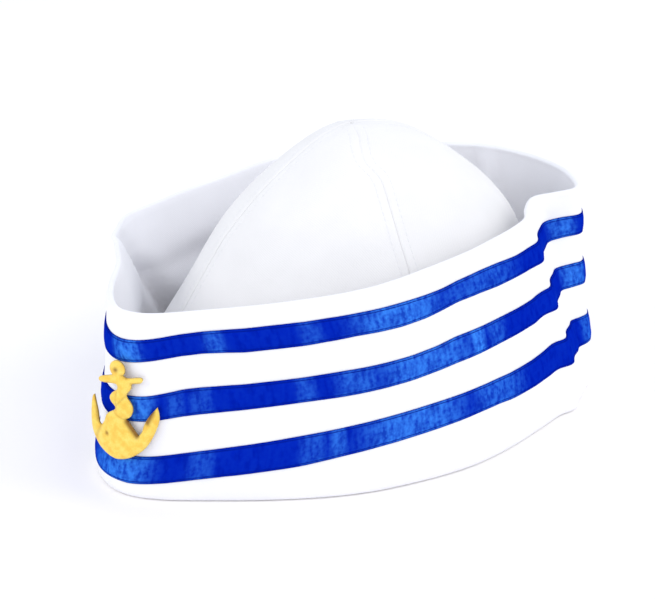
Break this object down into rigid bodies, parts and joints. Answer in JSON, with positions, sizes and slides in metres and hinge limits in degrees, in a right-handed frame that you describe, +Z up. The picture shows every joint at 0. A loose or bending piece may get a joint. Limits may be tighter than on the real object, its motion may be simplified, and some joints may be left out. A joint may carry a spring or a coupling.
{
  "type": "sailor cap",
  "caption": "Sailor cap: a domed gored cloth crown inside a stiffened upturned cuff, with satin ribbons round the cuff and an embroidered anchor badge at its front",
  "frame": {"origin": "middle of the cap's footprint, on the surface that its cuff's bottom fold rests on", "axes": "+Z up to the crown's top, -Y to the wearer's front where the badge is, +X to the wearer's left"},
  "size_m": [0.1568, 0.2207, 0.1185],
  "materials": {
    "crown_cloth": "matte white plain-weave cotton-like polyester, topstitched at its seams",
    "cuff_cloth": "matte white plain-weave cloth over a stiff interlining, stitched below the rim",
    "satin_ribbon": "royal-blue satin ribbon with a soft sheen and small puckers, stitched along both edges",
    "gold_embroidery": "gold-yellow satin-stitch embroidery thread, slightly glossy, with darker shaded lines"
  },
  "bodies": {
    "root": {"crown_gore_front_left": "crown_cloth", "crown_gore_back_left": "crown_cloth", "crown_gore_back_right": "crown_cloth", "crown_gore_front_right": "crown_cloth", "cuff": "cuff_cloth", "ribbon_top": "satin_ribbon", "ribbon_middle": "satin_ribbon", "ribbon_bottom": "satin_ribbon", "anchor_badge": "gold_embroidery"}
  },
  "joints": []
}
